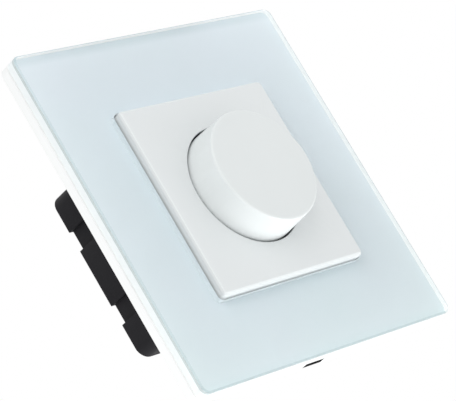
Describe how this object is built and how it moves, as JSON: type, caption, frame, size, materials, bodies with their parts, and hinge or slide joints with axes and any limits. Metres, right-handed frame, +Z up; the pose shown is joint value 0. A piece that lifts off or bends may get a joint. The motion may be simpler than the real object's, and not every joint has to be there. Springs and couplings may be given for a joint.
{
  "type": "led dimmer switch",
  "caption": "Square glass wall panel with a large push-and-turn dimmer knob on a raised centre plate and a black rear housing for a flush wall box.",
  "frame": {"origin": "centre of the panel on the wall plane, midway between the wall-box screw slots", "axes": "+X right seen from the room, +Y into the wall, +Z up"},
  "size_m": [0.086, 0.0429, 0.086],
  "materials": {
    "clear_glass": "clear float glass, ground and polished edges",
    "white_plastic": "smooth white moulded plastic, low gloss",
    "knob_plastic": "satin white moulded plastic",
    "black_plastic": "matt black moulded plastic, fine grain",
    "zinc_steel": "zinc plated sheet steel",
    "brass": "plain brass",
    "aluminium": "plain aluminium sheet",
    "board_green": "green solder mask",
    "ferrite": "dark grey ferrite",
    "copper_wire": "enamelled copper",
    "component_black": "black moulded component case",
    "film_yellow": "yellow capacitor case",
    "coated_blue": "blue dipped coating",
    "tape_white": "foam adhesive tape",
    "grey_plastic": "grey terminal plastic"
  },
  "bodies": {
    "root": {"glass_panel": "clear_glass", "panel_tape": "tape_white", "panel_frame": "white_plastic", "centre_plate": "white_plastic", "bush": "brass", "bush_nut": "zinc_steel", "bush_washer": "zinc_steel", "support_plate": "zinc_steel", "case_screws": "zinc_steel", "housing": "black_plastic", "housing_cover": "black_plastic", "control_body": "component_black", "control_cover": "component_black", "track_disc": "board_green", "push_spring": "zinc_steel", "control_pins": "brass", "circuit_board": "board_green", "heat_spreader": "aluminium", "power_transistors": "component_black", "choke_core": "ferrite", "choke_winding": "copper_wire", "film_capacitor": "film_yellow", "electrolytic_capacitor": "component_black", "varistor": "coated_blue", "fuse": "component_black", "controller_chip": "component_black", "terminal_block": "grey_plastic", "terminal_clamps": "brass", "terminal_screws": "zinc_steel"},
    "plunger": {"push_plunger": "grey_plastic"},
    "knob": {"knob": "knob_plastic", "knob_spring": "zinc_steel", "shaft": "zinc_steel"},
    "rotor": {"rotor": "grey_plastic", "wiper": "brass"}
  },
  "joints": [
    {"name": "knob_push", "type": "slide", "parent": "root", "child": "plunger", "axis": [0, 1, 0], "range_m": [0, 0.001], "stiffness_N_per_m": 2000, "springref_m": -0.0015, "deforming": ["push_spring"]},
    {"name": "knob_turn", "type": "hinge", "parent": "plunger", "child": "knob", "pos_m": [0, 0, 0], "axis": [0, 1, 0], "range_deg": [0, 300]},
    {"name": "rotor_turn", "type": "hinge", "parent": "root", "child": "rotor", "pos_m": [0, 0, 0], "axis": [0, 1, 0], "range_deg": [0, 300]}
  ],
  "couplings": [
    {"joint": "rotor_turn", "follows": "knob_turn", "ratio": 1}
  ]
}
